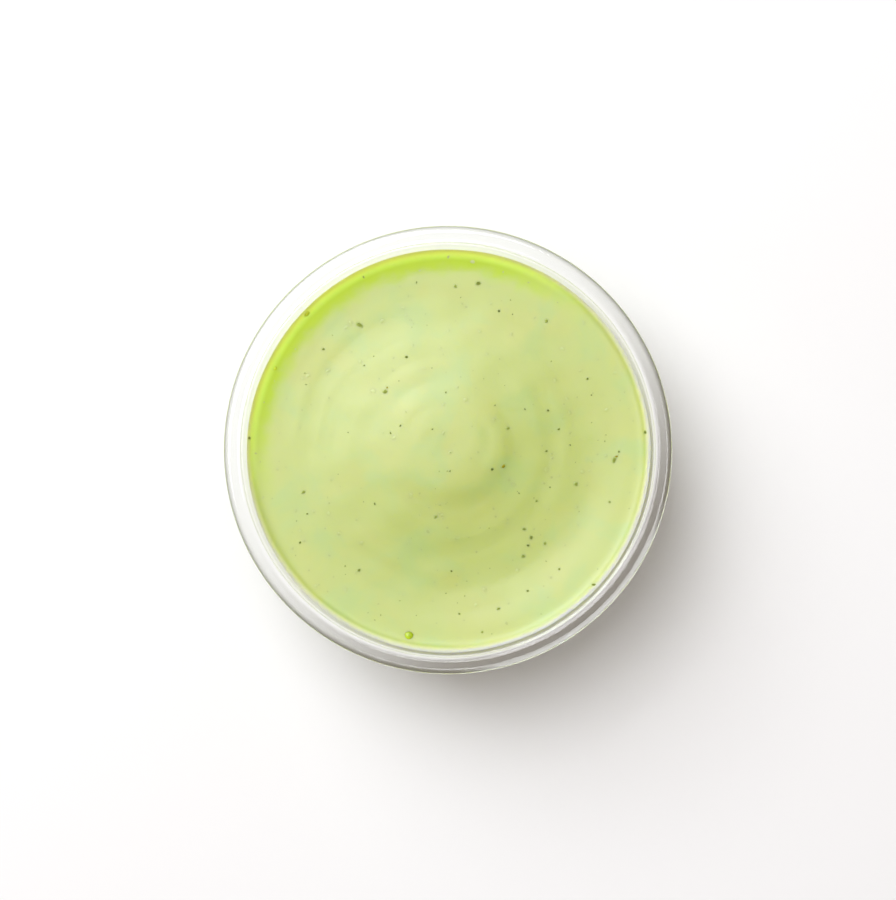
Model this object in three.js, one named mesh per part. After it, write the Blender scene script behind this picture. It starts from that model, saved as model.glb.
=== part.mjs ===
// A small clear glass bowl, filled to just under its rim with green goddess dressing.
//
// Millimetres, +Z up. The origin is the middle of the foot, on the surface that the bowl stands on.
// The bowl is one turned solid: a flat foot with a shallow hollow under it, a flared wall and a thick
// rim with a rounded square section. The dressing is one solid up to its surface, which keeps the low
// mound and the stepped swirl that a spoon left, and climbs a little where it meets the glass.

import * as THREE from "three";

// ---- Driving dimensions, in millimetres ----

const RIM_RADIUS = 45; // outside of the rim, half of the 90 mm bowl
const BOWL_HEIGHT = 40;
const RIM_HALF_WIDTH = 1.69;
const RIM_HALF_HEIGHT = 1.76;
const RIM_SQUARENESS = 3.8; // exponent of the rim's section: 2 is round, more is squarer

const WALL_THICKNESS = 1.8; // just under the rim
const INNER_FLARE = 9.8; // how much smaller the inside would be at the foot than at the rim
const OUTER_FLARE = 13.8;
const INNER_ROUNDNESS = 2.6; // exponent of the curve from the floor into the wall
const OUTER_ROUNDNESS = 3.3;
const OUTER_POLE = 4.0; // how far below the foot the outside curve would close
const MOUTH_FADE = 3.9; // depth in which the upright mouth turns into the flared inside

const FLOOR_HEIGHT = 4.5; // top of the glass at the bowl's middle
const FOOT_WIDTH = 4.5; // of the flat ring that the bowl stands on
const HOLLOW_DEPTH = 0.8; // under the foot
const HOLLOW_SLOPE = 0.8; // width of the step from the flat ring into the hollow

const FILL_LEVEL = 34.2; // of the dressing, between its mound and the wall
const CLEARANCE = 0.35; // gap between the dressing and the glass
const MOUND_HEIGHT = 1.4;
const MOUND_RADIUS = 34;
const CREEP_HEIGHT = 0.9; // how far the dressing climbs at the wall
const CREEP_WIDTH = 1.2;
const CALM_WIDTH = 18; // the swirl has faded out over this much of the edge

// Each step of the swirl is an arc where the surface drops outwards. It is deepest at its middle
// angle, anticlockwise from +X in degrees, and its radius grows by so much in a whole turn. The
// higher the fade, the shorter the arc.
const SWIRL_STEPS = [
  { radius: 10.9, angle: -44, growth: 6.5, drop: 0.85, width: 1.8, fade: 2.4 },
  { radius: 12.4, angle: 122, growth: -1.5, drop: 0.18, width: 2.4, fade: 2.2 },
  { radius: 18.6, angle: -78, growth: 2.0, drop: 0.3, width: 1.4, fade: 3.4 },
  { radius: 27.6, angle: -42, growth: 1.0, drop: 0.42, width: 2.0, fade: 2.2 },
  { radius: 25.0, angle: 122, growth: 2.5, drop: 0.2, width: 2.2, fade: 2.2 },
];

const SIDES = 64; // round the axis
const RIM_STEPS = 12; // round the rim's section, from its underside to the mouth
const WALL_STEPS = 11; // up each face of the wall
const MOUTH_STEPS = 3; // between the dressing's edge and the rim
const SURFACE_RINGS = 20; // from the middle of the dressing to the wall
const RING_CROWDING = 1.4; // above 1, the rings are closer together near the wall

// ---- The bowl's two curves ----

const rimMiddle = BOWL_HEIGHT - RIM_HALF_HEIGHT;
const rimFoot = BOWL_HEIGHT - 2 * RIM_HALF_HEIGHT;
const mouthRadius = RIM_RADIUS - 2 * RIM_HALF_WIDTH;
const contactHeight = FILL_LEVEL + CREEP_HEIGHT; // where the dressing meets the glass
const contactRadius = wallRadius(contactHeight) - edgeGap();

// A quarter of a superellipse: 0 at share 0, 1 at share 1, and upright there.
function rounded(share, exponent) {
  const rest = 1 - Math.min(Math.max(share, 0), 1);
  return (1 - rest ** exponent) ** (1 / exponent);
}

function flared(radius, flare, z) {
  return radius - (flare * (BOWL_HEIGHT - z)) / BOWL_HEIGHT;
}

function innerRadius(z) {
  const share = (z - FLOOR_HEIGHT) / (BOWL_HEIGHT - FLOOR_HEIGHT);
  return flared(mouthRadius, INNER_FLARE, z) * rounded(share, INNER_ROUNDNESS);
}

function outerRadius(z) {
  const share = (z + OUTER_POLE) / (BOWL_HEIGHT + OUTER_POLE);
  return flared(mouthRadius + WALL_THICKNESS, OUTER_FLARE, z) * rounded(share, OUTER_ROUNDNESS);
}

// The inside of the wall, which is upright where it leaves the rim and turns into the flared curve.
function wallRadius(z) {
  const step = mouthRadius - innerRadius(rimMiddle);
  return innerRadius(z) + step * Math.exp(-(rimMiddle - z) / MOUTH_FADE);
}

// ---- Profiles, as points (radius, height) from the axis round to the axis ----

// The rim's section is a superellipse, from the middle of its underside round to the mouth.
function rimSection() {
  const section = [];
  for (let i = 0; i <= RIM_STEPS; i++) {
    const turn = Math.PI * (-0.5 + (1.5 * i) / RIM_STEPS);
    const across = Math.cos(turn);
    const up = Math.sin(turn);
    const n = RIM_SQUARENESS;
    const scale = (Math.abs(across) ** n + Math.abs(up) ** n) ** (-1 / n);
    section.push(
      new THREE.Vector2(
        RIM_RADIUS + RIM_HALF_WIDTH * (across * scale - 1),
        rimMiddle + RIM_HALF_HEIGHT * up * scale,
      ),
    );
  }
  return section;
}

// The inside of the wall from the dressing's edge down to the floor's middle, closer together there.
function wettedWall() {
  const wall = [];
  for (let i = 0; i < WALL_STEPS; i++) {
    const turn = (Math.PI / 2) * (i / WALL_STEPS);
    const z = contactHeight - (contactHeight - FLOOR_HEIGHT) * Math.sin(turn);
    wall.push(new THREE.Vector2(wallRadius(z), z));
  }
  wall.push(new THREE.Vector2(0, FLOOR_HEIGHT));
  return wall;
}

function bowlProfile() {
  const footRadius = outerRadius(0);
  const flatStart = footRadius - FOOT_WIDTH;
  const profile = [
    new THREE.Vector2(0, HOLLOW_DEPTH),
    new THREE.Vector2(flatStart - HOLLOW_SLOPE, HOLLOW_DEPTH),
    new THREE.Vector2(flatStart, 0),
    new THREE.Vector2(footRadius, 0),
  ];
  // Outside of the wall, with its steps closer together near the foot, where it curves.
  for (let i = 1; i <= WALL_STEPS; i++) {
    const z = rimFoot * (i / WALL_STEPS) ** 1.7;
    profile.push(new THREE.Vector2(outerRadius(z), z));
  }
  profile.push(...rimSection());
  for (let i = 1; i < MOUTH_STEPS; i++) {
    const z = rimMiddle + ((contactHeight - rimMiddle) * i) / MOUTH_STEPS;
    profile.push(new THREE.Vector2(wallRadius(z), z));
  }
  profile.push(...wettedWall());
  return profile;
}

// ---- The dressing's surface ----

function smooth(share) {
  const t = Math.min(Math.max(share, 0), 1);
  return t * t * (3 - 2 * t);
}

// Drop of one swirl step at a radius and an angle: a soft step outwards, strongest at its own angle.
function stepDrop(step, radius, angle) {
  const away = angle - THREE.MathUtils.degToRad(step.angle);
  const wrapped = Math.atan2(Math.sin(away), Math.cos(away));
  const edge = step.radius + (step.growth * wrapped) / (2 * Math.PI);
  const strength = (0.5 + 0.5 * Math.cos(wrapped)) ** step.fade;
  return step.drop * strength * (0.5 + 0.5 * Math.tanh((radius - edge) / step.width));
}

function surfaceHeight(x, y) {
  const radius = Math.min(Math.hypot(x, y), contactRadius);
  const angle = Math.atan2(y, x);
  const inside = contactRadius - radius;
  const mound = MOUND_HEIGHT * (0.5 + 0.5 * Math.cos(Math.PI * Math.min(radius / MOUND_RADIUS, 1)));
  const swirl = SWIRL_STEPS.reduce((sum, step) => sum + stepDrop(step, radius, angle), 0);
  const creep = CREEP_HEIGHT * Math.exp(-inside / CREEP_WIDTH);
  return FILL_LEVEL + mound - swirl * smooth(inside / CALM_WIDTH) + creep;
}

// The level gap at the dressing's edge that leaves the clearance square to the leaning wall.
function edgeGap() {
  const lean = wallRadius(contactHeight + 0.5) - wallRadius(contactHeight - 0.5);
  return CLEARANCE * Math.hypot(1, lean);
}

// The dressing's profile: the wetted wall moved off the glass, and a level top for surfaceHeight to
// shape.
function dressingProfile() {
  const wall = wettedWall();
  const profile = [new THREE.Vector2(0, FLOOR_HEIGHT + CLEARANCE)];
  for (let i = WALL_STEPS - 1; i > 0; i--) {
    const along = wall[i - 1].clone().sub(wall[i + 1]).normalize();
    const off = new THREE.Vector2(-along.y, along.x).multiplyScalar(CLEARANCE);
    profile.push(wall[i].clone().add(off));
  }
  for (let i = 0; i <= SURFACE_RINGS; i++) {
    const inwards = (i / SURFACE_RINGS) ** RING_CROWDING;
    profile.push(new THREE.Vector2(contactRadius * (1 - inwards), contactHeight));
  }
  return profile;
}

// ---- Solids ----

// LatheGeometry turns a profile about Y, so the solid is stood up to turn about Z.
function turned(profile) {
  const geometry = new THREE.LatheGeometry(profile, SIDES);
  geometry.rotateX(Math.PI / 2);
  return geometry;
}

function bowlGeometry() {
  return turned(bowlProfile());
}

function dressingGeometry() {
  const geometry = turned(dressingProfile());
  const place = geometry.getAttribute("position");
  for (let i = 0; i < place.count; i++) {
    if (place.getZ(i) > contactHeight - 0.001) {
      place.setZ(i, surfaceHeight(place.getX(i), place.getY(i)));
    }
  }
  geometry.computeVertexNormals();
  return geometry;
}

// ---- Materials and the finished group ----

const clearGlass = new THREE.MeshStandardMaterial({
  color: 0xf2f5f2,
  roughness: 0.03,
  metalness: 0,
  transparent: true,
  opacity: 0.35,
});

const greenDressing = new THREE.MeshStandardMaterial({
  color: 0xd3de90,
  roughness: 0.4,
  metalness: 0,
});

function part(name, geometry, material) {
  const mesh = new THREE.Mesh(geometry, material);
  mesh.name = name;
  return mesh;
}

const filledBowl = new THREE.Group();
filledBowl.add(part("bowl", bowlGeometry(), clearGlass));
filledBowl.add(part("dressing", dressingGeometry(), greenDressing));

export default filledBowl;
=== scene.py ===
import math

import bpy
import numpy as np
from bpy.props import FloatProperty, FloatVectorProperty, IntProperty, PointerProperty
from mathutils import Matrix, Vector


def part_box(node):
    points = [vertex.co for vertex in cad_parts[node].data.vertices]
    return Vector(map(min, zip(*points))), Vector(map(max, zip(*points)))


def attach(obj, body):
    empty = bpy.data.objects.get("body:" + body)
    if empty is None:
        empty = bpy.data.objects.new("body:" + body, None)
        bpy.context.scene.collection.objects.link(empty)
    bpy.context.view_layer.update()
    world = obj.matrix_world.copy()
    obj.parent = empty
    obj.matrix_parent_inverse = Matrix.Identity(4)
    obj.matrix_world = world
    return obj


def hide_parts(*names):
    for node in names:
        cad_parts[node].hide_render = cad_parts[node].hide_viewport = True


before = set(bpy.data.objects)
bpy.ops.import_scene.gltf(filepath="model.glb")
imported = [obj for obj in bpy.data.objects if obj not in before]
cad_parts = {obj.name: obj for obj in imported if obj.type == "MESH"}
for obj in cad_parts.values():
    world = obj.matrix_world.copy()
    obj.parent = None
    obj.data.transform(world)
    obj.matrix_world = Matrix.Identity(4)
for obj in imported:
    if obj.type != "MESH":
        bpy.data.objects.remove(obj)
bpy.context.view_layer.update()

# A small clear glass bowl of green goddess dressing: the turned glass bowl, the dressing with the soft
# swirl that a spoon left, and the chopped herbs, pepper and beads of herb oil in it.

bl_info = {
    "name": "Bowl of green dressing",
    "version": (1, 0, 0),
    "blender": (4, 5, 0),
    "location": "3D View > Sidebar > Dressing bowl",
    "description": "Makes a small glass bowl of herb dressing and a plain studio for it",
    "category": "Mesh",
}

_, BOWL_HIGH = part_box("bowl")

MM = 0.001
BODY = "root"

# The side of the painted shade that stands for the rim's shadow on the dressing, with painted light at
# its outer edge, as a direction from the axis, nearly towards the panels.
RIM_SHADE_SIDE = (-0.5, 0.866, 0)

# Wavers, as numbers of waves in a turn: of the dressing's line on the glass, and of the edges and the
# widths of the swirl's steps.
EDGE_TURNS = (2, 3, 5, 7, 11, 16, 23, 31)
STEP_TURNS = (3, 4, 6, 9, 13)
WIDTH_TURNS = (2, 3, 5, 8)

# Points of the bowl's section along the rim, the outside and the inside of the wall and the hollow's
# middle, and points of the dressing's section up its side and over its surface.
RIM_POINTS = 109
OUTSIDE_POINTS = 70
INSIDE_POINTS = 90
HOLLOW_POINTS = 12
SIDE_POINTS = 60
SURFACE_RINGS = 150

# Kinds of bits: the share of the half thickness that is sunk in, flatness as the thickness in widths,
# and how lumpy they are.
CHOPPED = {"sink": 0.35, "flatness": 0.2, "lump": 0.13}
SUNK = {"sink": 0.6, "flatness": 0.06, "lump": 0.12}
GROUND = {"sink": 0.35, "flatness": 0.25, "lump": 0.16}
BEADED = {"sink": 0.35, "flatness": 0.3, "lump": 0.03}

# Times that light may pass through the bowl's faces.
GLASS_BOUNCES = 24

# The swirl's steps, as in the solid: middle radius in mm, angle of the deepest place in degrees
# anticlockwise from +X, growth of the radius in a turn, drop, half width, and how fast it fades.
SWIRL_STEPS = (
    (10.9, -44, 6.5, 0.85, 1.8, 2.4),
    (12.4, 122, -1.5, 0.18, 2.4, 2.2),
    (18.6, -78, 2.0, 0.3, 1.4, 3.4),
    (27.6, -42, 1.0, 0.42, 2.0, 2.2),
    (25.0, 122, 2.5, 0.2, 2.2, 2.2),
)

# The herb flecks that catch the eye: place across and up in mm from the bowl's middle, length,
# width, and the turn of the length in degrees.
DARK_FLECKS = (
    (-17.9, 25.3, 1.5, 0.95, -35),
    (-12.7, 11.8, 1.0, 0.85, 70),
    (-8.4, 18.8, 0.7, 0.6, 20),
    (-25.2, 20.4, 0.6, 0.55, 0),
    (6.1, 33.7, 1.05, 0.9, 30),
    (1.5, 33.1, 0.75, 0.65, 80),
    (10.3, 28.1, 0.65, 0.5, 10),
    (19.9, 26.1, 0.85, 0.7, 40),
    (28.2, 14.4, 0.6, 0.5, 0),
    (20.2, 8.0, 0.6, 0.5, 60),
    (12.1, 4.4, 0.8, 0.65, 15),
    (39.8, 3.6, 0.8, 0.6, 80),
    (33.6, -2.0, 1.25, 0.9, 75),
    (19.9, -0.2, 0.6, 0.5, 0),
    (8.9, -3.9, 0.75, 0.65, 85),
    (25.9, -6.9, 0.95, 0.8, 20),
    (-40.1, 2.4, 0.7, 0.55, 90),
    (-29.2, -8.5, 0.85, 0.7, 30),
    (-2.5, -13.5, 0.85, 0.6, 35),
    (15.4, -16.0, 0.9, 0.65, 5),
    (16.8, -17.7, 0.9, 0.8, 85),
    (16.2, -19.3, 0.75, 0.5, 10),
    (19.6, -18.9, 0.75, 0.6, 40),
    (15.2, -21.5, 0.9, 0.7, 25),
    (22.5, -24.1, 0.55, 0.5, 0),
    (29.4, -27.2, 0.9, 0.55, 12),
    (16.1, -28.5, 0.55, 0.5, 0),
    (10.2, -32.1, 0.75, 0.6, 30),
    (-18.0, -24.3, 0.75, 0.6, 10),
    (0.7, -24.5, 0.55, 0.45, 0),
    (6.9, -36.8, 0.6, 0.5, 70),
    (32.7, -10.5, 0.6, 0.5, 20),
    (17.9, -10.3, 0.6, 0.5, 45),
)

# The other bits that the photograph shows, in the same terms.
PEPPER_BITS = (
    (11.2, -3.3, 0.85, 0.7, 75),
    (34.1, -1.3, 0.6, 0.45, 20),
    (-12.3, 12.6, 0.5, 0.3, 80),
)
OIL_BEADS = (
    (-7.9, -37.45, 1.7, 1.6, 0),
    (-28.5, 27.5, 1.3, 0.7, 42),
    (-34.9, 16.5, 0.8, 0.6, 60),
)


# ---- Settings ----


def a_length(label, about, default):
    """A length in metres."""
    return FloatProperty(name=label, description=about, default=default, unit="LENGTH")


def an_angle(label, about, degrees):
    """An angle, given in degrees."""
    return FloatProperty(name=label, description=about, default=math.radians(degrees), subtype="ANGLE")


def a_share(label, about, default):
    """A number from 0 to 1."""
    return FloatProperty(name=label, description=about, default=default, min=0, max=1)


def a_number(label, about, default):
    """A plain number."""
    return FloatProperty(name=label, description=about, default=default)


def a_count(label, about, default):
    """A number of bits."""
    return IntProperty(name=label, description=about, default=default, min=0, max=2000)


def a_colour(label, about, default, most=1.0):
    """A colour, with no channel over the most."""
    return FloatVectorProperty(
        name=label, description=about, default=default, subtype="COLOR", size=3, min=0, max=most
    )


class BowlShape(bpy.types.PropertyGroup):
    """Sizes and colour of the turned glass bowl."""

    rim_radius: a_length("Rim radius", "From the axis to the outside of the rim", BOWL_HIGH.x)
    height: a_length("Height", "From the foot to the top of the rim", BOWL_HIGH.z)
    rim_half_width: a_length("Rim half width", "Half of the width of the rim's section", 1.69 * MM)
    rim_half_height: a_length("Rim half height", "Half of the section's height", 1.76 * MM)
    rim_squareness: a_number(
        "Rim squareness", "Exponent of the rim's section: 2 is round, more is squarer", 3.8
    )
    wall: a_length("Wall", "Thickness just under the rim", 1.8 * MM)
    inner_flare: a_length(
        "Inner flare", "How much the inside's radius falls from the rim to the foot", 9.8 * MM
    )
    outer_flare: a_length(
        "Outer flare", "How much the outside's radius falls from the rim to the foot", 13.8 * MM
    )
    mouth_fade: a_length(
        "Mouth fade", "Depth in which the upright mouth turns into the flared inside", 3.9 * MM
    )
    floor_height: a_length("Floor height", "Top of the glass at the bowl's middle", 4.5 * MM)
    outer_pole: a_length("Outer pole", "How far below the foot the outside curve would close", 4.0 * MM)
    foot_width: a_length("Foot width", "Width of the flat ring that the bowl stands on", 4.5 * MM)
    hollow_depth: a_length("Hollow depth", "Depth of the hollow under the foot", 0.8 * MM)
    edge_round: a_length(
        "Edge round", "Radius of the rounded corners of the foot and under the rim", 0.35 * MM
    )
    inner_roundness: a_number(
        "Inner roundness", "Exponent of the curve from the floor into the wall", 2.6
    )
    outer_roundness: a_number("Outer roundness", "Exponent of the outside curve", 3.3)
    rim_shadow: a_share(
        "Rim shadow", "Light that each face of the rim lets on, as a share of the wall's", 0.4
    )
    tint: a_colour("Tint", "Colour of the glass", (0.985, 0.99, 0.985))


class DressingShape(bpy.types.PropertyGroup):
    """Sizes and colours of the dressing."""

    fill_level: a_length(
        "Fill level", "Height of the dressing between its mound and the wall", 34.2 * MM
    )
    mound_height: a_length("Mound height", "Rise of the surface towards the middle", 1.4 * MM)
    mound_radius: a_length("Mound radius", "Where the mound ends", 34.0 * MM)
    creep_height: a_length("Creep height", "How far the dressing climbs at the wall", 1.9 * MM)
    # The side meant here is that of the painted rim shade.
    creep_lean: a_share("Creep lean", "Share by which the climb is lower on the side of the film", 0.6)
    creep_width: a_length("Creep width", "Distance in which the climb falls to a third", 0.6 * MM)
    calm_width: a_length("Calm width", "The swirl has faded out over this much of the edge", 18.0 * MM)
    dimple_depth: a_length(
        "Dimple depth", "Depth of the small dip at the middle of the swirl", 0.08 * MM
    )
    streak_height: a_length(
        "Streak height", "Height of the fine streaks that follow the swirl", 0.025 * MM
    )
    lump_height: a_length("Lump height", "Height of the low soft lumps in the surface", 0.035 * MM)
    swirl_waver: a_length("Swirl waver", "How far the edges of the swirl's steps wander", 0.5 * MM)
    edge_waver: a_length("Edge waver", "How far the line on the glass rises and falls", 0.25 * MM)
    into_wall: a_length(
        "Into wall", "How far the dressing reaches into the glass, so that no gap shows", 0.1 * MM
    )
    cream: a_colour("Cream", "Main colour of the dressing", (0.507, 0.59, 0.16))
    butter: a_colour("Butter", "Warmer patches", (0.522, 0.585, 0.155))
    leaf: a_colour("Leaf", "Greener patches", (0.465, 0.585, 0.18))
    # Painted shade: this colour stands for the rim's shadow on the dressing along the side towards the
    # panels, saturated like light that has passed through the dressing.
    painted_rim_shade: a_colour(
        "Herb oil film", "Colour where herb oil has gathered along one side", (0.5, 0.67, 0.015)
    )
    # Painted light: this colour stands for the light that the glass wall lets onto the dressing's edge
    # beside the painted shade.
    painted_edge_light: a_colour(
        "Herb oil edge", "The film's colour where it thins out at the glass", (0.76, 1.0, 0.14)
    )
    roughness: a_share("Roughness", "Roughness of the dressing, which has a wide soft sheen", 0.42)
    # This roughness goes with the painted rim shade and keeps the wide sheen off it.
    rim_shade_roughness: a_share(
        "Film roughness", "Roughness of the film, which is broken up and takes the sheen off", 0.75
    )
    # This pale edge colour is partly the thinned dressing's own colour on the glass and partly painted
    # sheen for the steep edge.
    thin_edge_and_sheen: a_colour("Thin edge", "Colour of the thin edge that clings to the glass", (0.85, 0.95, 0.6))
    glow_depth: a_length("Glow depth", "How far light spreads inside the dressing", 1.8 * MM)


class FleckShape(bpy.types.PropertyGroup):
    """Numbers, sizes and colours of the herbs, pepper and oil beads."""

    small_count: a_count("Small flecks", "Scattered small dark flecks", 70)
    sunk_count: a_count("Sunk flecks", "Pale flecks that lie just under the surface", 220)
    wall_count: a_count(
        "Wall flecks", "Dark flecks against the glass, with twice as many pale ones", 130
    )
    stand_proud: a_length(
        "Stand proud", "Lift of a dark fleck's middle, before its share is sunk in", 0.05 * MM
    )
    herb_dark: a_colour("Dark herb", "Darkest colour of the herb flecks", (0.09, 0.115, 0.012))
    herb_light: a_colour("Light herb", "Lightest colour of the herb flecks", (0.29, 0.35, 0.06))
    pepper: a_colour("Pepper", "Colour of the pepper bits", (0.4, 0.36, 0.012))
    oil: a_colour("Herb oil", "Colour of the beads of herb oil", (0.6, 0.8, 0.02))


class StudioLook(bpy.types.PropertyGroup):
    """Floor, light and camera."""

    floor_colour: a_colour("Floor", "Colour of the floor", (0.9, 0.9, 0.9))
    floor_side: a_length("Floor side", "Side of the square floor", 6.0)
    key_power: a_number("Key power", "Power of the large soft panel in watts", 7.0)
    key_size: a_length("Key size", "Side of the large soft panel", 0.7)
    key_elevation: an_angle("Key elevation", "Height of the large panel over the horizon", 48)
    sheen_power: a_number(
        "Sheen power", "Power in watts of the higher panel, for the dressing's sheen", 6.0
    )
    sheen_size: a_length("Sheen size", "Side of the higher panel", 0.5)
    sheen_elevation: an_angle("Sheen elevation", "Height of the higher panel over the horizon", 72)
    panel_distance: a_length("Panel distance", "From the bowl to both panels", 1.1)
    panel_azimuth: an_angle("Panel azimuth", "Direction of both panels, anticlockwise from +X", 130)
    panel_colour: a_colour("Panel colour", "Colour of both panels", (0.975, 1.0, 1.02), most=2.0)
    sky_colour: a_colour(
        "Sky colour", "Colour of the surrounding light, which fills the shadows", (1.0, 0.87, 0.82)
    )
    sky_low: a_number("Sky low", "Strength of the surrounding light at the horizon", 0.24)
    sky_high: a_number("Sky high", "Strength of the surrounding light overhead", 0.38)
    camera_height: a_length("Camera height", "The camera looks straight down from here", 0.7)
    rim_in_picture: a_number(
        "Rim in picture", "Share of the picture's longer side that the rim fills", 448 / 900
    )


# ---- Shapes ----


def rounded(share, exponent):
    """A quarter of a superellipse: (1 - (1 - share)^n)^(1/n), 0 at share 0 and upright there, 1 at 1."""
    rest = 1 - np.clip(share, 0, 1)
    return (1 - rest**exponent) ** (1 / exponent)


def flared(radius, flare, z, shape):
    """The radius less the flare's part for the depth under the rim, which grows evenly downwards."""
    return radius - flare * (shape.height - z) / shape.height


def mouth_radius(shape):
    """Radius of the opening between the rim's inner sides."""
    return shape.rim_radius - 2 * shape.rim_half_width


def inner_radius(z, shape):
    """Inside of the wall: the flared mouth times a superellipse that closes at the floor's middle."""
    share = (z - shape.floor_height) / (shape.height - shape.floor_height)
    radius = flared(mouth_radius(shape), shape.inner_flare, z, shape)
    return radius * rounded(share, shape.inner_roundness)


def outer_radius(z, shape):
    """Outside of the wall: the flared mouth and wall times a superellipse that closes under the foot."""
    share = (z + shape.outer_pole) / (shape.height + shape.outer_pole)
    radius = flared(mouth_radius(shape) + shape.wall, shape.outer_flare, z, shape)
    return radius * rounded(share, shape.outer_roundness)


def wall_radius(z, shape):
    """Inside of the wall under the rim: the flared curve and a step that dies away downwards, so that
    the wall is upright where it leaves the rim."""
    rim_middle = shape.height - shape.rim_half_height
    step = mouth_radius(shape) - inner_radius(rim_middle, shape)
    return inner_radius(z, shape) + step * np.exp(-(rim_middle - z) / shape.mouth_fade)


def rim_section(shape, start, end, steps):
    """A square with rounded corners, at even turns t: (a cos t, b sin t) over the n-th root of
    |cos t|^n + |sin t|^n, with half width a, half height b and squareness n."""
    turn = np.linspace(start, end, steps)
    n = shape.rim_squareness
    scale = (np.abs(np.cos(turn)) ** n + np.abs(np.sin(turn)) ** n) ** (-1 / n)
    across = shape.rim_radius - shape.rim_half_width + shape.rim_half_width * np.cos(turn) * scale
    up = shape.height - shape.rim_half_height + shape.rim_half_height * np.sin(turn) * scale
    return np.stack([across, up], axis=1)


def eased_corner(before, corner, after, radius, steps=5):
    """A rounded corner: the curve (1-t)^2 a + 2t(1-t) c + t^2 b, with the corner c and with a and b a
    radius away from it on each side."""
    corner = np.asarray(corner)
    a = corner + radius * (before - corner) / np.linalg.norm(before - corner)
    b = corner + radius * (after - corner) / np.linalg.norm(after - corner)
    t = np.linspace(0, 1, steps)[:, None]
    return (1 - t) ** 2 * a + 2 * t * (1 - t) * corner + t**2 * b


def bowl_profile(shape):
    """The bowl's section from the axis under the foot, up the outside, over the rim and down inside,
    with rounded corners. Its points are closer together near the foot and at the floor's middle."""
    rim_middle = shape.height - shape.rim_half_height
    rim_foot = shape.height - 2 * shape.rim_half_height
    foot = float(outer_radius(0.0, shape))
    flat = foot - shape.foot_width
    hollow = np.array([flat - shape.hollow_depth, shape.hollow_depth])
    rim = rim_section(shape, -np.pi / 2, np.pi, RIM_POINTS)
    rise = rim_foot * np.linspace(0, 1, OUTSIDE_POINTS)[1:-1] ** 1.4
    outside = np.stack([outer_radius(rise, shape), rise], axis=1)
    turn = np.linspace(0, np.pi / 2, INSIDE_POINTS)[1:-1]
    fall = rim_middle - (rim_middle - shape.floor_height) * np.sin(turn)
    inside = np.stack([wall_radius(fall, shape), fall], axis=1)
    above_foot, below_neck = outside[12], outside[-6]
    under_rim = (float(outer_radius(rim_foot, shape)), rim_foot)
    neck = eased_corner(below_neck, under_rim, rim[0], shape.edge_round)
    foot_outer = eased_corner(np.array([flat, 0.0]), (foot, 0.0), above_foot, shape.edge_round)
    foot_inner = eased_corner(hollow, (flat, 0.0), np.array([foot, 0.0]), shape.edge_round)
    hollow_edge = eased_corner(
        np.array([0.0, shape.hollow_depth]), hollow, np.array([flat, 0.0]), shape.edge_round
    )
    inner_flat = np.linspace(0, hollow[0] - shape.edge_round, HOLLOW_POINTS)[:-1]
    under = np.stack([inner_flat, np.full_like(inner_flat, shape.hollow_depth)], axis=1)
    standing = (outside[:, 1] > foot_outer[-1, 1]) & (outside[:, 1] < neck[0, 1])
    floor = np.array([[0.0, shape.floor_height]])
    rows = [under, hollow_edge, foot_inner, foot_outer, outside[standing], neck, rim, inside, floor]
    return np.concatenate(rows)


def turned_surface(profile, sides):
    """A profile turned about +Z: point (i, j) is (r_i cos a_j, r_i sin a_j, z_i), with one point at
    each pole."""
    angle = np.arange(sides) * 2 * np.pi / sides
    ring = profile[1:-1]
    grid = np.empty((len(ring), sides, 3))
    grid[..., 0] = ring[:, :1] * np.cos(angle)
    grid[..., 1] = ring[:, :1] * np.sin(angle)
    grid[..., 2] = ring[:, 1:]
    return closed_grid(grid, (0, 0, profile[0, 1]), (0, 0, profile[-1, 1]))


def closed_grid(grid, first_pole, last_pole):
    """Rings of points closed by one point at each end, with faces that point outwards where the rings
    turn anticlockwise seen from the last pole. Gives the points, the four-sided faces and the
    three-sided ones."""
    rings, sides = grid.shape[:2]
    points = np.concatenate([grid.reshape(-1, 3), [first_pole], [last_pole]])
    index = np.arange(rings * sides).reshape(rings, sides)
    turned = np.roll(index, -1, axis=1)
    quads = np.stack([index[:-1], turned[:-1], turned[1:], index[1:]], axis=-1).reshape(-1, 4)
    first = np.full(sides, rings * sides)
    start = np.stack([turned[0], index[0], first], axis=-1)
    end = np.stack([index[-1], turned[-1], first + 1], axis=-1)
    return points, quads, np.concatenate([start, end])


def smooth(share):
    """The soft step 3t^2 - 2t^3, with t the share held between 0 and 1."""
    t = np.clip(share, 0, 1)
    return t * t * (3 - 2 * t)


def sine_sum(angle, turns, seed):
    """Half of a sum of sines of the angle, about -1 to 1, with the given numbers of turns and seeded
    phases. Each is divided by its number of turns to the power 0.6."""
    rng = np.random.default_rng(seed)
    line = np.zeros_like(angle)
    for count in turns:
        line += np.sin(count * angle + rng.uniform(0, 2 * np.pi)) / count**0.6
    return line / 2


def swirl_drop(radius, angle, waver):
    """Drop of the swirl's steps. Each is half of 1 + tanh((r - edge) / width), times a strength, half
    of 1 + cos of the angle from the step's deepest place, to the power of its fade. The edge's radius
    grows with the angle and wavers, and the width is 1.25 times the step's and wavers by 0.4 of it."""
    drop = np.zeros_like(radius)
    for seed, (middle, deepest, growth, depth, width, fade) in enumerate(SWIRL_STEPS):
        away = angle - math.radians(deepest)
        away = np.arctan2(np.sin(away), np.cos(away))
        edge = (middle + growth * away / (2 * np.pi)) * MM
        edge += waver * sine_sum(angle, STEP_TURNS, 30 + seed)
        soft = width * MM * (1.25 + 0.4 * sine_sum(angle, WIDTH_TURNS, 40 + seed))
        strength = (0.5 + 0.5 * np.cos(away)) ** fade
        drop += depth * MM * strength * (0.5 + 0.5 * np.tanh((radius - edge) / soft))
    return drop


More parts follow.
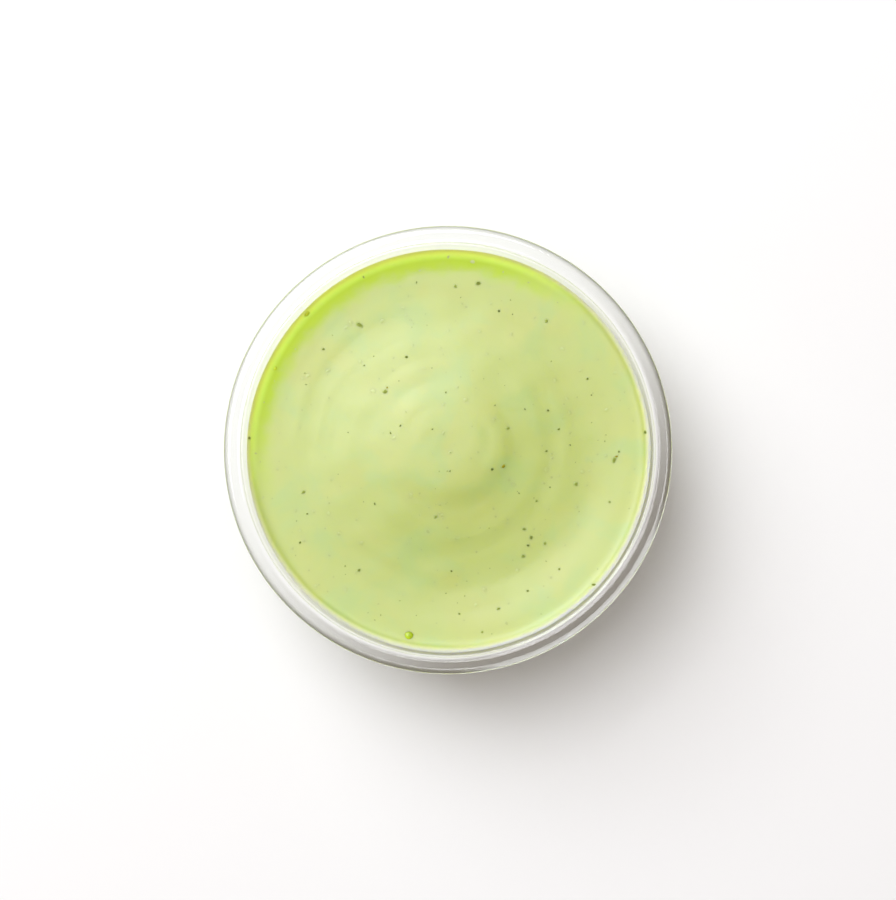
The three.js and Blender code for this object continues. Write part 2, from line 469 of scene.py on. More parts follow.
def lumps(x, y, seed=17):
    """Low soft lumps, about -1 to 1: a sixth of a sum of 22 waves in seeded directions, 6 to 15 mm
    long."""
    rng = np.random.default_rng(seed)
    height = np.zeros_like(x)
    for _ in range(22):
        way = rng.uniform(0, 2 * np.pi)
        wave = rng.uniform(6, 15) * MM
        along = x * np.cos(way) + y * np.sin(way)
        height += np.sin(2 * np.pi * along / wave + rng.uniform(0, 2 * np.pi))
    return height / 6


def streaks(radius, angle, seed=5):
    """Fine streaks that follow the swirl: a sum of 16 sines of the radius and of a few turns of the
    angle, each with its own wavelength of 2.2 to 7.5 mm, number of turns and phase. A longer one is
    higher, and each rises and falls with the angle."""
    rng = np.random.default_rng(seed)
    height = np.zeros_like(radius)
    for _ in range(16):
        wave = rng.uniform(2.2, 7.5) * MM
        turns = rng.integers(-3, 4)
        phase = rng.uniform(0, 2 * np.pi)
        lift = 0.5 + 0.5 * np.sin(rng.integers(1, 4) * angle + rng.uniform(0, 2 * np.pi))
        height += lift * np.sin(2 * np.pi * radius / wave + turns * angle + phase) * wave / (5 * MM)
    return height / 4


def creep_height(angle, shape):
    """How far the dressing climbs at the wall: the creep less its lean times half of 1 + cos of the
    angle from the middle of the painted rim shade's side."""
    away = angle - math.atan2(RIM_SHADE_SIDE[1], RIM_SHADE_SIDE[0])
    return shape.creep_height * (1 - shape.creep_lean * (0.5 + 0.5 * np.cos(away)))


def edge_waver(angle, shape):
    """How far the dressing's line on the glass lies over its mean there."""
    return shape.edge_waver * sine_sum(angle, EDGE_TURNS, 11)


def surface_height(x, y, bowl, shape):
    """Height of the dressing's surface: the level, a mound that is half of 1 + cos, less the swirl's
    steps and the middle's dimple, with fine streaks and low lumps, and a creep at the wall that dies
    away inwards."""
    dimple_radius, streaks_start, waver_width = 2.2 * MM, 9 * MM, 1.2 * MM
    radius = np.hypot(x, y)
    angle = np.arctan2(y, x)
    climb = creep_height(angle, shape)
    edge = wall_radius(shape.fill_level + climb, bowl)
    inside = np.maximum(edge - radius, 0)
    mound = 0.5 + 0.5 * np.cos(np.pi * np.minimum(radius / shape.mound_radius, 1))
    calm = smooth(inside / shape.calm_width)
    dimple = shape.dimple_depth * np.exp(-((radius / dimple_radius) ** 2))
    fine = shape.streak_height * streaks(radius, angle) * smooth(radius / streaks_start)
    fine += shape.lump_height * lumps(x, y)
    waver = edge_waver(angle, shape) * np.exp(-inside / waver_width)
    creep = climb * np.exp(-inside / shape.creep_width)
    drop = swirl_drop(radius, angle, shape.swirl_waver)
    relief = shape.mound_height * mound - dimple + (fine - drop) * calm
    return shape.fill_level + relief + creep + waver


def dressing_solid(bowl, shape, sides=320):
    """The dressing: rings from the floor's middle up the wall, a little inside the glass and up to the
    wavering line, and rings of the surface inwards, closer together near the wall."""
    angle = np.arange(sides) * 2 * np.pi / sides
    contact = shape.fill_level + creep_height(angle, shape) + edge_waver(angle, shape)
    depth = np.sin(np.linspace(np.pi / 2, 0, SIDE_POINTS)[1:])[:, None]
    z = contact - (contact - bowl.floor_height) * depth
    radius = wall_radius(z, bowl) + shape.into_wall
    side = np.stack([radius * np.cos(angle), radius * np.sin(angle), z], axis=-1)
    share = 1 - np.linspace(0, 1, SURFACE_RINGS + 1)[:-1, None] ** 1.3
    radius = share * (wall_radius(contact, bowl) + shape.into_wall)
    x = radius * np.cos(angle)
    y = radius * np.sin(angle)
    top = np.stack([x, y, surface_height(x, y, bowl, shape)], axis=-1)
    centre = surface_height(np.zeros(1), np.zeros(1), bowl, shape)[0]
    low = (0, 0, bowl.floor_height - shape.into_wall)
    return closed_grid(np.concatenate([side, top[1:]]), low, (0, 0, centre))


def bit_forms(places, flatness, lump, seed, columns, rows):
    """Lumpy flat bits. Each is a ball of angles (u, v) stretched to its length, width and thickness,
    the flatness times its width and 0.04 mm, swelled by sines of 2u, 3u and 5u, and turned. Gives each
    point's place across and up from its bit's middle and its height over it, each bit's half
    thickness, and sin v, which is 1 at a bit's rim."""
    rng = np.random.default_rng(seed)
    count = len(places)
    u = np.tile(np.arange(columns) * 2 * np.pi / columns, rows - 1)
    v = np.repeat(np.pi * np.arange(1, rows) / rows, columns)
    u = np.concatenate([u, [0, 0]])
    v = np.concatenate([v, [0, np.pi]])
    phase = rng.uniform(0, 2 * np.pi, (count, 1, 3))
    swell = 1 + lump * (
        np.sin(2 * u + phase[..., 0])
        + 0.7 * np.sin(3 * u + phase[..., 1]) * np.sin(v)
        + 0.4 * np.sin(5 * u + phase[..., 2])
    )
    half_length, half_width = places[:, 2:4].T[..., None] * MM / 2
    turn = np.radians(places[:, 4])[:, None]
    thick = flatness * half_width + 0.02 * MM
    long = np.sin(v) * np.cos(u) * swell * half_length
    wide = np.sin(v) * np.sin(u) * swell * half_width
    across = long * np.cos(turn) - wide * np.sin(turn)
    up = long * np.sin(turn) + wide * np.cos(turn)
    return across, up, -np.cos(v) * thick, thick, np.tile(np.sin(v), count)


def fleck_forms(places, bowl, shape, proud, sink, flatness, lump, seed, columns=9, rows=6):
    """Bits on the dressing's surface, with their middles over it by proud less a share of their half
    thickness. Gives the closed surfaces, and for each point how near it is to its bit's rim."""
    places = np.asarray(places, dtype=float)
    across, up, rise, thick, rim = bit_forms(places, flatness, lump, seed, columns, rows)
    x = places[:, :1] * MM + across
    y = places[:, 1:2] * MM + up
    z = surface_height(x, y, bowl, shape) + proud - sink * thick + rise
    return many_closed_grids(np.stack([x, y, z], axis=-1), columns, rows), rim


def wall_fleck_forms(places, bowl, shape, proud, sink, flatness, lump, seed, columns=9, rows=6):
    """Bits that lie against the glass: the places hold the angle in degrees and the height in mm. A
    point's way across turns it about the axis, its way up raises it along the wall, and its radius is
    the wall's, with its rise over the dressing."""
    places = np.asarray(places, dtype=float)
    across, up, rise, thick, rim = bit_forms(places, flatness, lump, seed, columns, rows)
    middle = places[:, 1:2] * MM
    radius = wall_radius(middle, bowl)
    lean = (wall_radius(middle + MM / 2, bowl) - wall_radius(middle - MM / 2, bowl)) / MM
    angle = np.radians(places[:, :1]) + across / radius
    z = middle + up / np.sqrt(1 + lean**2)
    radius = wall_radius(z, bowl) + shape.into_wall + proud - sink * thick + rise
    points = np.stack([radius * np.cos(angle), radius * np.sin(angle), z], axis=-1)
    return many_closed_grids(points, columns, rows), rim


def many_closed_grids(points, columns, rows):
    """Copies of a closed grid, one for each bit, with the points of one bit after those of the last."""
    count, size = points.shape[:2]
    one = np.zeros((rows - 1, columns, 3))
    _, quads, triangles = closed_grid(one, (0, 0, 0), (0, 0, 0))
    shift = (np.arange(count) * size)[:, None, None]
    return points.reshape(-1, 3), (quads + shift).reshape(-1, 4), (triangles + shift).reshape(-1, 3)


def seeded_sizes(rng, count, smallest, largest):
    """Lengths and widths in mm and turns in degrees, with more small bits than large ones."""
    length = smallest + (largest - smallest) * rng.random(count) ** 2.2
    width = length * rng.uniform(0.55, 0.95, count)
    return length, width, rng.uniform(0, 180, count)


def scattered(count, smallest, largest, reach, seed):
    """Seeded places over the dressing, even over the disc. Lengths are in mm."""
    rng = np.random.default_rng(seed)
    radius = reach * np.sqrt(rng.random(count)) / MM
    angle = rng.uniform(0, 2 * np.pi, count)
    sizes = seeded_sizes(rng, count, smallest, largest)
    return np.stack([radius * np.cos(angle), radius * np.sin(angle), *sizes], axis=1)


def scattered_on_wall(count, smallest, largest, bowl, shape, seed):
    """Seeded places over the wetted wall, as angle and height, from 4 mm over the floor to 0.8 mm under
    the fill level and closer together near the top."""
    rng = np.random.default_rng(seed)
    low, high = bowl.floor_height / MM + 4, shape.fill_level / MM - 0.8
    angle = rng.uniform(0, 360, count)
    height = low + (high - low) * rng.random(count) ** 0.7
    sizes = seeded_sizes(rng, count, smallest, largest)
    return np.stack([angle, height, *sizes], axis=1)


# ---- Pieces ----


def add_object(name, data):
    """An object in the scene, at the origin."""
    item = bpy.data.objects.new(name, data)
    bpy.context.scene.collection.objects.link(item)
    return item


def new_piece(name, surface, material, smooth_angle=None, rim=None):
    """A mesh object at the origin, with its faces checked to be one closed surface that points out, and
    with a value for each point in the attribute rim where one is given."""
    points, quads, triangles = surface
    mesh = bpy.data.meshes.new(name)
    corners = np.concatenate([quads.ravel(), triangles.ravel()]).astype(np.int32)
    starts = np.concatenate(
        [np.arange(len(quads)) * 4, len(quads) * 4 + np.arange(len(triangles)) * 3]
    ).astype(np.int32)
    mesh.vertices.add(len(points))
    mesh.vertices.foreach_set("co", points.ravel())
    mesh.loops.add(len(corners))
    mesh.loops.foreach_set("vertex_index", corners)
    mesh.polygons.add(len(starts))
    mesh.polygons.foreach_set("loop_start", starts)
    mesh.polygons.foreach_set("use_smooth", np.ones(len(starts), dtype=bool))
    mesh.update(calc_edges=True)
    if mesh.validate():
        raise RuntimeError(f"{name}: the faces don't make a sound mesh")
    if smooth_angle is not None:
        mesh.set_sharp_from_angle(angle=smooth_angle)
    if rim is not None:
        mesh.attributes.new("rim", "FLOAT", "POINT").data.foreach_set("value", rim)
    fan = np.concatenate([triangles, quads[:, [0, 1, 2]], quads[:, [0, 2, 3]]])
    a, b, c = points[fan[:, 0]], points[fan[:, 1]], points[fan[:, 2]]
    if np.einsum("ij,ij->", a, np.cross(b, c)) <= 0:
        raise RuntimeError(f"{name}: the faces point inwards")
    if 2 * len(mesh.edges) != len(corners):
        raise RuntimeError(f"{name}: the surface isn't closed")
    mesh.materials.append(material)
    piece = add_object(name, mesh)
    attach(piece, BODY)
    return piece


# ---- Materials ----

# The dressing's shine, also on the bits that it covers.
DRESSING_SHINE = {"IOR": 1.5, "Specular IOR Level": 0.9}

# Ramps at the dressing's edge. By the distance from the axis: the inner side of the painted rim shade,
# where it turns into painted light towards the glass, and the pale edge on the glass, which is partly
# painted sheen. By the height: from the wall, where neither shows, up to the edge. The painted shade's
# inner side wanders by so much in all.
RIM_SHADE_INNER = (34.5 * MM, 38.3 * MM)
EDGE_LIGHT_RAMP = (38.2 * MM, 39.8 * MM)
THIN_EDGE_AND_SHEEN_RAMP = (39.6 * MM, 40.6 * MM)
EDGE_HEIGHTS = (33 * MM, 34 * MM)
RIM_SHADE_WANDER = 4 * MM


def opaque(colour):
    """A colour with its alpha."""
    return (*colour, 1.0)


def set_values(node, **values):
    """Sets plain values on a node's sockets. An underscore in a label stands for a space."""
    for label, value in values.items():
        node.inputs[label.replace("_", " ")].default_value = value


def new_material(name, **values):
    """A material whose Principled shader has the values, as (material, node tree, shader)."""
    material = bpy.data.materials.new(name)
    material.use_nodes = True
    shader = material.node_tree.nodes["Principled BSDF"]
    set_values(shader, **values)
    return material, material.node_tree, shader


def new_group(name, *colours):
    """An empty shader node group that takes colours and gives a Color and a Height, as (group, its
    entry's sockets, its exit's sockets)."""
    group = bpy.data.node_groups.new(name, "ShaderNodeTree")
    sockets = [(label, "INPUT", "NodeSocketColor") for label in colours]
    sockets += [("Color", "OUTPUT", "NodeSocketColor"), ("Height", "OUTPUT", "NodeSocketFloat")]
    for label, way, kind in sockets:
        group.interface.new_socket(name=label, in_out=way, socket_type=kind)
    entry, leave = group.nodes.new("NodeGroupInput"), group.nodes.new("NodeGroupOutput")
    return group, entry.outputs, leave.inputs


def add_group(tree, name, make, **colours):
    """Outputs of a node group, made once, that is placed in a tree with its own colours."""
    node = tree.nodes.new("ShaderNodeGroup")
    node.node_tree = bpy.data.node_groups.get(name) or make()
    for label, value in colours.items():
        node.inputs[label].default_value = opaque(value)
    return node.outputs


def feed(tree, source, socket):
    """Gives a socket a plain value, or links another socket to it."""
    if isinstance(source, bpy.types.NodeSocket):
        tree.links.new(source, socket)
    else:
        socket.default_value = source


def object_place(tree):
    """The Object coordinates."""
    return tree.nodes.new("ShaderNodeTexCoord").outputs["Object"]


def noise(tree, place, scale, detail, distortion=0.0):
    """Value of a noise texture at a place."""
    node = tree.nodes.new("ShaderNodeTexNoise")
    set_values(node, Scale=scale, Detail=detail, Distortion=distortion)
    tree.links.new(place, node.inputs["Vector"])
    return node.outputs["Fac"]


def ramp(tree, value, start, end, low=0.0, high=1.0, kind="SMOOTHSTEP"):
    """A value that goes from low to high as another goes from start to end."""
    node = tree.nodes.new("ShaderNodeMapRange")
    node.interpolation_type = kind
    set_values(node, From_Min=start, From_Max=end, To_Min=low, To_Max=high)
    tree.links.new(value, node.inputs["Value"])
    return node.outputs["Result"]


def calculated(tree, operation, *values):
    """A Math node's result for sockets and numbers."""
    node = tree.nodes.new("ShaderNodeMath")
    node.operation = operation
    for value, socket in zip(values, node.inputs):
        feed(tree, value, socket)
    return node.outputs["Value"]


def product(tree, first, *others):
    """The product of the sockets' values."""
    for other in others:
        first = calculated(tree, "MULTIPLY", first, other)
    return first


def vector_result(tree, operation, *vectors):
    """A Vector Math node's result, which is a number for a length and for a dot product."""
    node = tree.nodes.new("ShaderNodeVectorMath")
    node.operation = operation
    for vector, socket in zip(vectors, node.inputs):
        feed(tree, vector, socket)
    return node.outputs["Value" if operation in ("LENGTH", "DOT_PRODUCT") else "Vector"]


def height_of(tree, place):
    """The Z of a place."""
    split = tree.nodes.new("ShaderNodeSeparateXYZ")
    tree.links.new(place, split.inputs["Vector"])
    return split.outputs["Z"]


def mixed(tree, factor, first, second, blend="MIX"):
    """A mix of two colours, each from a socket or plain."""
    node = tree.nodes.new("ShaderNodeMix")
    node.data_type = "RGBA"
    node.blend_type = blend
    for source, place in ((factor, 0), (first, 6), (second, 7)):
        feed(tree, source, node.inputs[place])
    return node.outputs[2]


def bump(tree, height, shader, strength, distance):
    """Feeds a height through a Bump node into the shader's Normal."""
    node = tree.nodes.new("ShaderNodeBump")
    set_values(node, Strength=strength, Distance=distance)
    tree.links.new(height, node.inputs["Height"])
    tree.links.new(node.outputs["Normal"], shader.inputs["Normal"])


def cream_mottle_group():
    """Soft patches of three creamy colours, and a fine unevenness, read from Object coordinates. The
    greener patches read their noise somewhere else, so that they don't follow the warmer ones."""
    group, entry, leave = new_group("Cream mottle", "Cream", "Butter", "Leaf")
    place = object_place(group)
    elsewhere = vector_result(group, "ADD", place, (0.13, 0.07, 0.21))
    warm = ramp(group, noise(group, place, scale=95, detail=3, distortion=0.6), 0.44, 0.68)
    green = ramp(group, noise(group, elsewhere, scale=120, detail=3, distortion=0.4), 0.46, 0.7)
    creamy = mixed(group, warm, entry["Cream"], entry["Butter"])
    group.links.new(mixed(group, green, creamy, entry["Leaf"]), leave["Color"])
    group.links.new(noise(group, place, scale=900, detail=3), leave["Height"])
    return group


def add_mottle(tree, shape):
    """The creamy mottle in the dressing's colours."""
    colours = {"Cream": shape.cream, "Butter": shape.butter, "Leaf": shape.leaf}
    return add_group(tree, "Cream mottle", cream_mottle_group, **colours)


def fleck_tone_group():
    """A colour between a dark and a light one that changes from bit to bit and over each bit."""
    group, entry, leave = new_group("Fleck tone", "Dark", "Light")
    place = object_place(group)
    wide = ramp(group, noise(group, place, scale=420, detail=1), 0.3, 0.72)
    grain = noise(group, place, scale=5200, detail=2)
    tone = mixed(group, wide, entry["Dark"], entry["Light"])
    group.links.new(mixed(group, 0.35, tone, grain, "OVERLAY"), leave["Color"])
    group.links.new(grain, leave["Height"])
    return group


def edge_masks(tree):
    """Masks of the dressing's edge, from the distance r from the axis, the direction and the height of
    the Object coordinates. The pale edge on the glass, partly the thinned dressing's own colour and
    partly painted sheen, is a soft step of r times one of the height. The painted rim shade, which
    stands for the rim's shadow, is a soft step of r, which a noise moves in and out, times one of the
    direction's nearness to its side and the same one of the height, and it is weaker where the pale edge
    is. Lit, the painted light where the painted shade meets the glass, is a soft step of r. Gives the
    painted rim shade, lit and the pale edge."""
    place = object_place(tree)
    level = vector_result(tree, "MULTIPLY", place, (1, 1, 0))
    radius = vector_result(tree, "LENGTH", level)
    outward = vector_result(tree, "NORMALIZE", level)
    wave = noise(tree, place, scale=260, detail=3)
    wandering = calculated(tree, "MULTIPLY_ADD", wave, RIM_SHADE_WANDER, radius)
    near = ramp(tree, calculated(tree, "SUBTRACT", wandering, RIM_SHADE_WANDER / 2), *RIM_SHADE_INNER)
    side = ramp(tree, vector_result(tree, "DOT_PRODUCT", outward, RIM_SHADE_SIDE), 0.1, 0.85)
    above = ramp(tree, height_of(tree, place), *EDGE_HEIGHTS)
    thin_edge_and_sheen = product(tree, ramp(tree, radius, *THIN_EDGE_AND_SHEEN_RAMP), above)
    kept = ramp(tree, thin_edge_and_sheen, 0.0, 1.0, low=1.0, high=0.7)
    return product(tree, near, side, above, kept), ramp(tree, radius, *EDGE_LIGHT_RAMP), thin_edge_and_sheen


def clear_glass_material(shape):
    """Clear glass with the faint waviness of pressed glass. In its shadow the wall lets most of the
    light through where light meets it squarely, and the upper part of the rim, which bends light
    aside, lets less through."""
    material, tree, shader = new_material(
        "bowl_clear_glass",
        Base_Color=opaque(shape.tint),
        Roughness=0.0,
        IOR=1.5,
        Transmission_Weight=1.0,
    )
    nodes, links = tree.nodes, tree.links
    place = object_place(tree)
    bump(tree, noise(tree, place, scale=55, detail=1), shader, strength=0.012, distance=0.4 * MM)
    slant = nodes.new("ShaderNodeLayerWeight")
    set_values(slant, Blend=0.5)
    passed = ramp(tree, slant.outputs["Facing"], 1.0, 0.4, high=0.96, kind="LINEAR")
    rim_foot = shape.height - 2 * shape.rim_half_height
    bent = ramp(
        tree, height_of(tree, place), rim_foot + 0.8 * MM, rim_foot + 1.6 * MM, 1.0, shape.rim_shadow
    )
    through = nodes.new("ShaderNodeBsdfTransparent")
    links.new(product(tree, passed, bent), through.inputs["Color"])
    mix = nodes.new("ShaderNodeMixShader")
    links.new(nodes.new("ShaderNodeLightPath").outputs["Is Shadow Ray"], mix.inputs["Fac"])
    links.new(shader.outputs["BSDF"], mix.inputs[1])
    links.new(through.outputs["BSDF"], mix.inputs[2])
    links.new(mix.outputs["Shader"], nodes["Material Output"].inputs["Surface"])
    return material


def dressing_material(shape):
    """Creamy herb dressing: soft patches of colour, a pale edge at the glass that is partly the thinned
    dressing's own colour and partly painted sheen, a band of painted shade for the rim's shadow along
    the side towards the panels with painted light at its outer edge, and light that spreads inside it."""
    material, tree, shader = new_material(
        "green_goddess_dressing",
        Subsurface_Weight=1.0,
        Subsurface_Radius=(1.0, 1.0, 0.3),
        Subsurface_Scale=shape.glow_depth,
        **DRESSING_SHINE,
    )
    mottle = add_mottle(tree, shape)
    # The masks give the painted shade of the rim's shadow, the painted light at its outer edge, and the
    # pale edge, which is partly painted sheen.
    painted_rim_shade, lit, thin_edge_and_sheen = edge_masks(tree)
    # The pale edge here is partly painted sheen.
    edged = mixed(tree, thin_edge_and_sheen, mottle["Color"], opaque(shape.thin_edge_and_sheen))
    # The painted shade's colour, turning into painted light towards the glass.
    oil = mixed(tree, lit, opaque(shape.painted_rim_shade), opaque(shape.painted_edge_light))
    tree.links.new(mixed(tree, painted_rim_shade, edged, oil), shader.inputs["Base Color"])
    rough = ramp(tree, painted_rim_shade, 0.0, 1.0, shape.roughness, shape.rim_shade_roughness)
    tree.links.new(rough, shader.inputs["Roughness"])
    bump(tree, mottle["Height"], shader, strength=0.12, distance=0.05 * MM)
    return material


def rim_ramp(tree, start, end, high=1.0):
    """A ramp of the bits' own attribute, which is 1 at a bit's rim and 0 at its two flat middles."""
    rim = tree.nodes.new("ShaderNodeAttribute")
    rim.attribute_name = "rim"
    return ramp(tree, rim.outputs["Fac"], start, end, high=high)


def fleck_material(name, dark, light, around, veil_start):
    """A herb or pepper bit, from a dark to a light tone, that turns into the dressing's colour towards
    its rim, where the dressing has run over it."""
    material, tree, shader = new_material(name, Roughness=0.5, Specular_IOR_Level=0.15)
    tone = add_group(tree, "Fleck tone", fleck_tone_group, Dark=dark, Light=light)
    veiled = mixed(tree, rim_ramp(tree, veil_start, 1.0), tone["Color"], opaque(around))
    tree.links.new(veiled, shader.inputs["Base Color"])
    bump(tree, tone["Height"], shader, strength=0.3, distance=0.04 * MM)
    return material


def sunk_material(shape, flecks):
    """A herb bit seen through a layer of dressing: half its own colour in its middle, and the dressing's
    towards its rim."""
    material, tree, shader = new_material(
        "sunk_herb_under_dressing", Roughness=shape.roughness, **DRESSING_SHINE
    )
    mottle = add_mottle(tree, shape)
    tone = add_group(
        tree, "Fleck tone", fleck_tone_group, Dark=flecks.herb_light, Light=shape.leaf
    )
    seen = rim_ramp(tree, 1.0, 0.2, high=0.5)
    veiled = mixed(tree, seen, mottle["Color"], tone["Color"])
    tree.links.new(veiled, shader.inputs["Base Color"])
    return material


def oil_material(flecks):
    """A bead of herb oil: bright yellow-green in two tones, with light that spreads inside it."""
    material, tree, shader = new_material(
        "herb_oil_bead",
        Roughness=0.3,
        IOR=1.47,
        Subsurface_Weight=1.0,
        Subsurface_Radius=(0.8, 1.0, 0.1),
        Subsurface_Scale=0.8 * MM,
    )
    deep = [0.6 * channel for channel in flecks.oil]
    tone = add_group(tree, "Fleck tone", fleck_tone_group, Dark=deep, Light=flecks.oil)
    tree.links.new(tone["Color"], shader.inputs["Base Color"])
    return material


# ---- Operators ----


class MakeGlassBowl(bpy.types.Operator):
    """Make the turned glass bowl"""

    bl_idname = "dressing_bowl.make_glass"
    bl_label = "Glass bowl"

    def execute(self, context):
        shape = context.scene.bowl_shape
        surface = turned_surface(bowl_profile(shape), sides=288)
        glass = clear_glass_material(shape)
        piece = new_piece("glass_bowl", surface, glass, smooth_angle=math.radians(40))
        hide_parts("bowl")
        return {"FINISHED"}


class MakeDressing(bpy.types.Operator):
    """Make the dressing with its swirl"""

    bl_idname = "dressing_bowl.make_dressing"
    bl_label = "Dressing"

    def execute(self, context):
        shape = context.scene.dressing_shape
        surface = dressing_solid(context.scene.bowl_shape, shape)
        creamy = dressing_material(shape)
        piece = new_piece("dressing_fill", surface, creamy, smooth_angle=math.radians(60))
        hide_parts("dressing")
        return {"FINISHED"}


class AddHerbs(bpy.types.Operator):
    """Add the dark herb flecks and the pale sunk ones, on the dressing and against the glass"""

    bl_idname = "dressing_bowl.add_herbs"
    bl_label = "Herb flecks"

    def execute(self, context):
        scene = context.scene
        bowl, shape, flecks = scene.bowl_shape, scene.dressing_shape, scene.fleck_shape
        herb = fleck_material("chopped_herb", flecks.herb_dark, flecks.herb_light, shape.leaf, 0.5)
        under = sunk_material(shape, flecks)
        reach = wall_radius(shape.fill_level, bowl) - 1.2 * MM
        small = scattered(flecks.small_count, 0.22, 0.62, reach, seed=21)
        places = np.concatenate([np.array(DARK_FLECKS), small])
        forms, rim = fleck_forms(places, bowl, shape, flecks.stand_proud, seed=3, **CHOPPED)
        new_piece("herb_flecks", forms, herb, rim=rim)
        places = scattered(flecks.sunk_count, 0.4, 1.3, reach, seed=25)
        forms, rim = fleck_forms(places, bowl, shape, proud=0, seed=4, **SUNK)
        new_piece("sunk_herb_flecks", forms, under, rim=rim)
        places = scattered_on_wall(flecks.wall_count, 0.3, 1.3, bowl, shape, seed=23)
        forms, rim = wall_fleck_forms(places, bowl, shape, proud=0.03 * MM, seed=5, **CHOPPED)
        new_piece("wall_herb_flecks", forms, herb, rim=rim)
        places = scattered_on_wall(2 * flecks.wall_count, 0.4, 1.5, bowl, shape, seed=24)
        forms, rim = wall_fleck_forms(places, bowl, shape, proud=0, seed=7, **SUNK)
        new_piece("sunk_wall_flecks", forms, under, rim=rim)
        return {"FINISHED"}


class AddPepper(bpy.types.Operator):
    """Add the brown pepper bits"""

    bl_idname = "dressing_bowl.add_pepper"
    bl_label = "Pepper bits"

    def execute(self, context):
        scene = context.scene
        bowl, shape, flecks = scene.bowl_shape, scene.dressing_shape, scene.fleck_shape
        dark = [0.5 * channel for channel in flecks.pepper]
        pepper = fleck_material("ground_pepper", dark, flecks.pepper, shape.butter, 0.7)
        forms, rim = fleck_forms(PEPPER_BITS, bowl, shape, flecks.stand_proud, seed=6, **GROUND)
        new_piece("pepper_bits", forms, pepper, rim=rim)
        return {"FINISHED"}


class AddOilBeads(bpy.types.Operator):
    """Add the beads of herb oil"""

    bl_idname = "dressing_bowl.add_oil_beads"
    bl_label = "Herb oil beads"

    def execute(self, context):
        bowl, shape = context.scene.bowl_shape, context.scene.dressing_shape
        forms, _ = fleck_forms(
            OIL_BEADS, bowl, shape, proud=0.08 * MM, seed=8, columns=24, rows=12, **BEADED
        )
        oil = oil_material(context.scene.fleck_shape)
        new_piece("herb_oil_beads", forms, oil)
        return {"FINISHED"}


class SetStudio(bpy.types.Operator):
    """Set the floor, the soft light and the camera that looks straight down"""

    bl_idname = "dressing_bowl.set_studio"
    bl_label = "Studio"

    def execute(self, context):
        scene = context.scene
        look = scene.studio_look
        make_floor(look)
        make_panel("key_panel", look, look.key_power, look.key_size, look.key_elevation)
        make_panel("sheen_panel", look, look.sheen_power, look.sheen_size, look.sheen_elevation)
        make_sky(scene, look)
        scene.camera = make_camera(scene.bowl_shape, look)
        scene.view_settings.view_transform = "Standard"
        scene.cycles.max_bounces = GLASS_BOUNCES
        scene.cycles.transmission_bounces = GLASS_BOUNCES
        scene.cycles.transparent_max_bounces = GLASS_BOUNCES
        scene.cycles.blur_glossy = 0.5
        return {"FINISHED"}


def make_floor(look):
    """The flat square floor that the bowl stands on."""
    half = look.floor_side / 2
    mesh = bpy.data.meshes.new("floor")
    corners = [(-half, -half, 0), (half, -half, 0), (half, half, 0), (-half, half, 0)]
    mesh.from_pydata(corners, [], [(0, 1, 2, 3)])
    grey, _, _ = new_material("studio_floor", Base_Color=opaque(look.floor_colour), Roughness=0.8)
    mesh.materials.append(grey)
    return add_object("floor", mesh)


def make_panel(name, look, power, size, elevation):
    """A square soft panel that points at the bowl."""
    panel = bpy.data.lights.new(name, "AREA")
    panel.shape = "SQUARE"
    panel.size = size
    panel.energy = power
    panel.color = look.panel_colour
    light = add_object(name, panel)
    level, azimuth = math.cos(elevation), look.panel_azimuth
    towards = Vector((level * math.cos(azimuth), level * math.sin(azimuth), math.sin(elevation)))
    light.location = towards * look.panel_distance
    light.rotation_euler = towards.to_track_quat("Z", "Y").to_euler()


def make_sky(scene, look):
    """Plain surrounding light that is stronger overhead than at the horizon."""
    world = bpy.data.worlds.new("studio_sky")
    world.use_nodes = True
    tree = world.node_tree
    up = height_of(tree, tree.nodes.new("ShaderNodeTexCoord").outputs["Generated"])
    background = tree.nodes["Background"]
    set_values(background, Color=opaque(look.sky_colour))
    strength = ramp(tree, up, 0.0, 1.0, look.sky_low, look.sky_high, "LINEAR")
    tree.links.new(strength, background.inputs["Strength"])
    scene.world = world


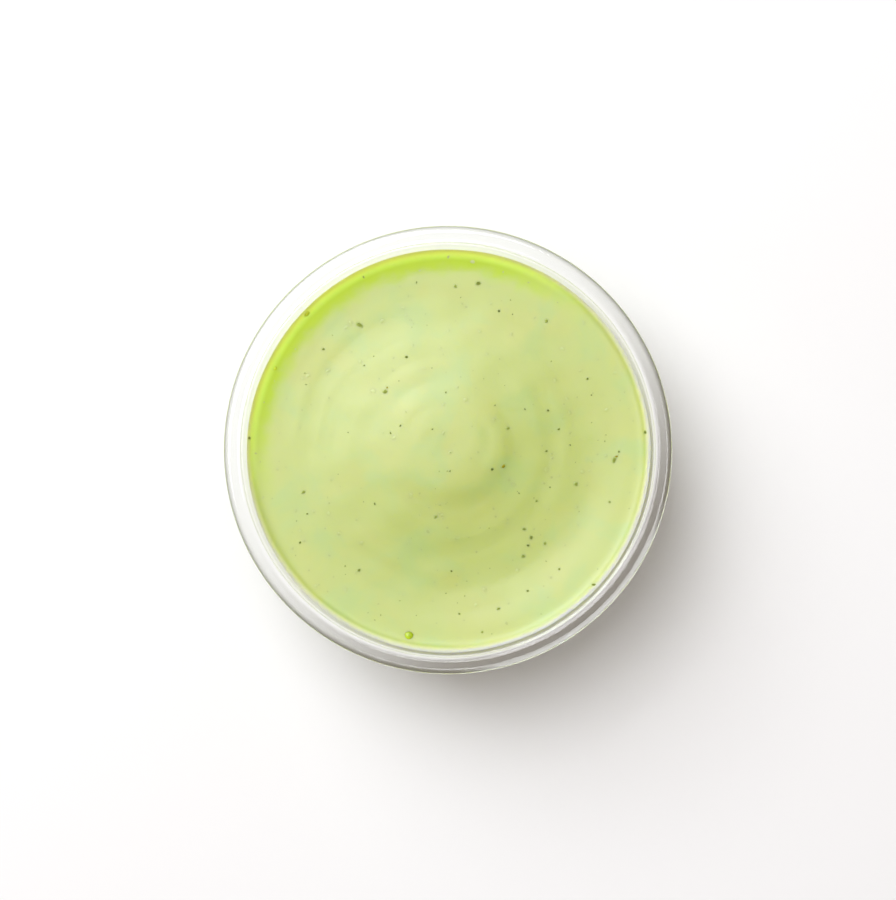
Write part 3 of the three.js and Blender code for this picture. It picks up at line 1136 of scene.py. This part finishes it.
def make_camera(bowl, look):
    """A camera over the bowl's middle. The lens makes the rim fill its share of the picture."""
    lens = bpy.data.cameras.new("camera")
    lens.sensor_width = 36
    distance = look.camera_height - (bowl.height - bowl.rim_half_height)
    picture = 2 * bowl.rim_radius / look.rim_in_picture
    lens.lens = lens.sensor_width * distance / picture
    lens.clip_start = 0.01
    camera = add_object("camera", lens)
    camera.location = (0, 0, look.camera_height)
    return camera


# ---- Panel and registration ----

STEPS = (MakeGlassBowl, MakeDressing, AddHerbs, AddPepper, AddOilBeads, SetStudio)


class DressingBowlPanel(bpy.types.Panel):
    """Steps and settings of the bowl of dressing"""

    bl_idname = "VIEW3D_PT_dressing_bowl"
    bl_label = "Dressing bowl"
    bl_space_type = "VIEW_3D"
    bl_region_type = "UI"
    bl_category = "Dressing bowl"

    def draw(self, context):
        for step in STEPS:
            self.layout.operator(step.bl_idname)
        for label in SETTINGS:
            group = getattr(context.scene, label)
            box = self.layout.box()
            for key in group.bl_rna.properties.keys():
                if key not in ("rna_type", "name"):
                    box.prop(group, key)


SETTINGS = {
    "bowl_shape": BowlShape,
    "dressing_shape": DressingShape,
    "fleck_shape": FleckShape,
    "studio_look": StudioLook,
}


def register():
    """Adds the classes and the scene's settings."""
    for item in (*SETTINGS.values(), *STEPS, DressingBowlPanel):
        bpy.utils.register_class(item)
    for label, group in SETTINGS.items():
        setattr(bpy.types.Scene, label, PointerProperty(type=group))


def unregister():
    """Takes the settings and the classes away again."""
    for label in SETTINGS:
        delattr(bpy.types.Scene, label)
    for item in reversed((*SETTINGS.values(), *STEPS, DressingBowlPanel)):
        bpy.utils.unregister_class(item)


def main():
    """Makes the whole scene."""
    register()
    bpy.ops.dressing_bowl.make_glass()
    bpy.ops.dressing_bowl.make_dressing()
    bpy.ops.dressing_bowl.add_herbs()
    bpy.ops.dressing_bowl.add_pepper()
    bpy.ops.dressing_bowl.add_oil_beads()
    bpy.ops.dressing_bowl.set_studio()


if __name__ == "__main__":
    main()
